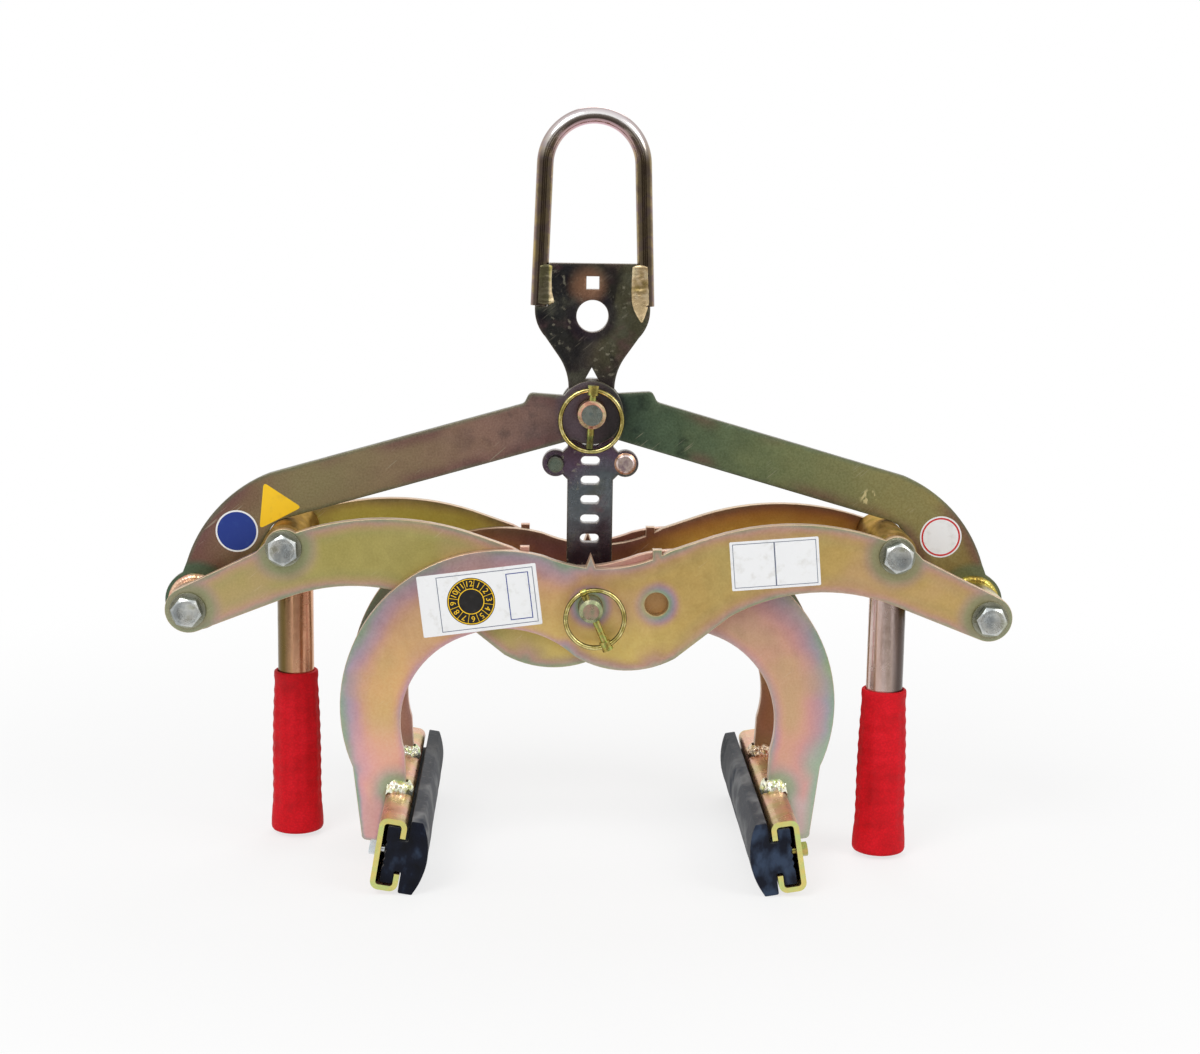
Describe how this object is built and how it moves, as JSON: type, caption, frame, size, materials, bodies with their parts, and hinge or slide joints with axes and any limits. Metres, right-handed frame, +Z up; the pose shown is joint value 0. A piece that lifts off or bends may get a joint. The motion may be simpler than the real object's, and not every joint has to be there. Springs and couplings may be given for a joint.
{
  "type": "scissor lifting tongs",
  "caption": "Scissor lifting tongs with a bail, bent links, crossing plate arms, hanging handles and long rubber-faced jaws that close as the bail is lifted.",
  "frame": {"origin": "on the floor under the lower pivot, in the middle of the jaws' length, at the open rest pose", "axes": "+Z up, +X towards the right handle seen from the linch pins' side, -Y towards that side"},
  "size_m": [0.668, 0.262, 0.588],
  "materials": {
    "arm_plate": "yellow-chromated zinc with an iridescent bloom",
    "link_plate": "darker yellow-chromated zinc",
    "suspension_plate": "dark glossy chromated zinc",
    "plated_section": "yellow-chromated zinc",
    "bright_zinc": "bright zinc",
    "spring_ring": "golden passivated spring wire",
    "pad_rubber": "matte",
    "grip_rubber": "matte, finely ribbed"
  },
  "bodies": {
    "lower_pivot": {"lower_pivot_pin": "bright_zinc", "lower_spacer_tube": "plated_section", "lower_linch_pin": "bright_zinc"},
    "lower_ring": {"lower_linch_ring": "spring_ring"},
    "right_arm": {"right_arm_front_plate": "arm_plate", "right_arm_back_plate": "arm_plate", "right_arm_outer_bolt": "bright_zinc", "right_arm_outer_nut": "bright_zinc", "right_arm_handle_bolt": "bright_zinc", "right_arm_handle_nut": "bright_zinc", "right_arm_handle_spacer": "plated_section", "right_arm_handle_tube": "plated_section", "right_arm_handle_grip": "grip_rubber", "right_arm_jaw_channel": "plated_section", "right_arm_jaw_pad": "pad_rubber", "right_arm_jaw_screws": "bright_zinc"},
    "left_arm": {"left_arm_front_plate": "arm_plate", "left_arm_back_plate": "arm_plate", "left_arm_outer_bolt": "bright_zinc", "left_arm_outer_nut": "bright_zinc", "left_arm_handle_bolt": "bright_zinc", "left_arm_handle_nut": "bright_zinc", "left_arm_handle_spacer": "plated_section", "left_arm_handle_tube": "plated_section", "left_arm_handle_grip": "grip_rubber", "left_arm_jaw_channel": "plated_section", "left_arm_jaw_pad": "pad_rubber", "left_arm_jaw_screws": "bright_zinc"},
    "right_link": {"right_link_plate": "link_plate", "right_link_hub": "plated_section"},
    "left_link": {"left_link_plate": "link_plate", "left_link_hub": "plated_section"},
    "upper_pivot": {"upper_pivot_pin": "bright_zinc", "upper_linch_pin": "bright_zinc"},
    "upper_ring": {"upper_linch_ring": "spring_ring"},
    "suspension": {"suspension_plate": "suspension_plate", "lifting_bail": "plated_section", "left_stop_stud": "bright_zinc", "right_stop_stud": "bright_zinc"}
  },
  "joints": [
    {"name": "right_arm_close", "type": "hinge", "parent": "lower_pivot", "child": "right_arm", "pos_m": [0, 0, 0.20838], "axis": [0, -1, 0], "range_deg": [0, 20]},
    {"name": "left_arm_close", "type": "hinge", "parent": "lower_pivot", "child": "left_arm", "pos_m": [0, 0, 0.20838], "axis": [0, 1, 0], "range_deg": [0, 20]},
    {"name": "right_link_turn", "type": "hinge", "parent": "right_arm", "child": "right_link", "pos_m": [0.31, 0, 0.20088], "axis": [0, 1, 0], "range_deg": [0, 24.6]},
    {"name": "left_link_turn", "type": "hinge", "parent": "left_arm", "child": "left_link", "pos_m": [-0.31, 0, 0.20088], "axis": [0, -1, 0], "range_deg": [0, 24.6]},
    {"name": "upper_pivot_turn", "type": "hinge", "parent": "left_link", "child": "upper_pivot", "pos_m": [0, 0, 0.35288], "axis": [0, 1, 0], "range_deg": [0, 4.6]},
    {"name": "suspension_swing", "type": "hinge", "parent": "upper_pivot", "child": "suspension", "pos_m": [0, 0, 0.35288], "axis": [0, 1, 0], "range_deg": [-5, 5]},
    {"name": "upper_ring_flip", "type": "hinge", "parent": "upper_pivot", "child": "upper_ring", "pos_m": [0.00097, -0.0215, 0.37135], "axis": [-0.9986, 0, 0.0523], "range_deg": [0, 150], "stiffness_Nm_per_rad": 0.02},
    {"name": "lower_ring_flip", "type": "hinge", "parent": "lower_pivot", "child": "lower_ring", "pos_m": [0.01236, -0.0705, 0.17995], "axis": [0.9171, 0, 0.3987], "range_deg": [0, 150], "stiffness_Nm_per_rad": 0.02}
  ],
  "couplings": [
    {"joint": "left_arm_close", "follows": "right_arm_close", "ratio": 1},
    {"joint": "right_link_turn", "follows": "right_arm_close", "ratio": 1.23},
    {"joint": "left_link_turn", "follows": "right_arm_close", "ratio": 1.23},
    {"joint": "upper_pivot_turn", "follows": "right_arm_close", "ratio": 0.23}
  ]
}
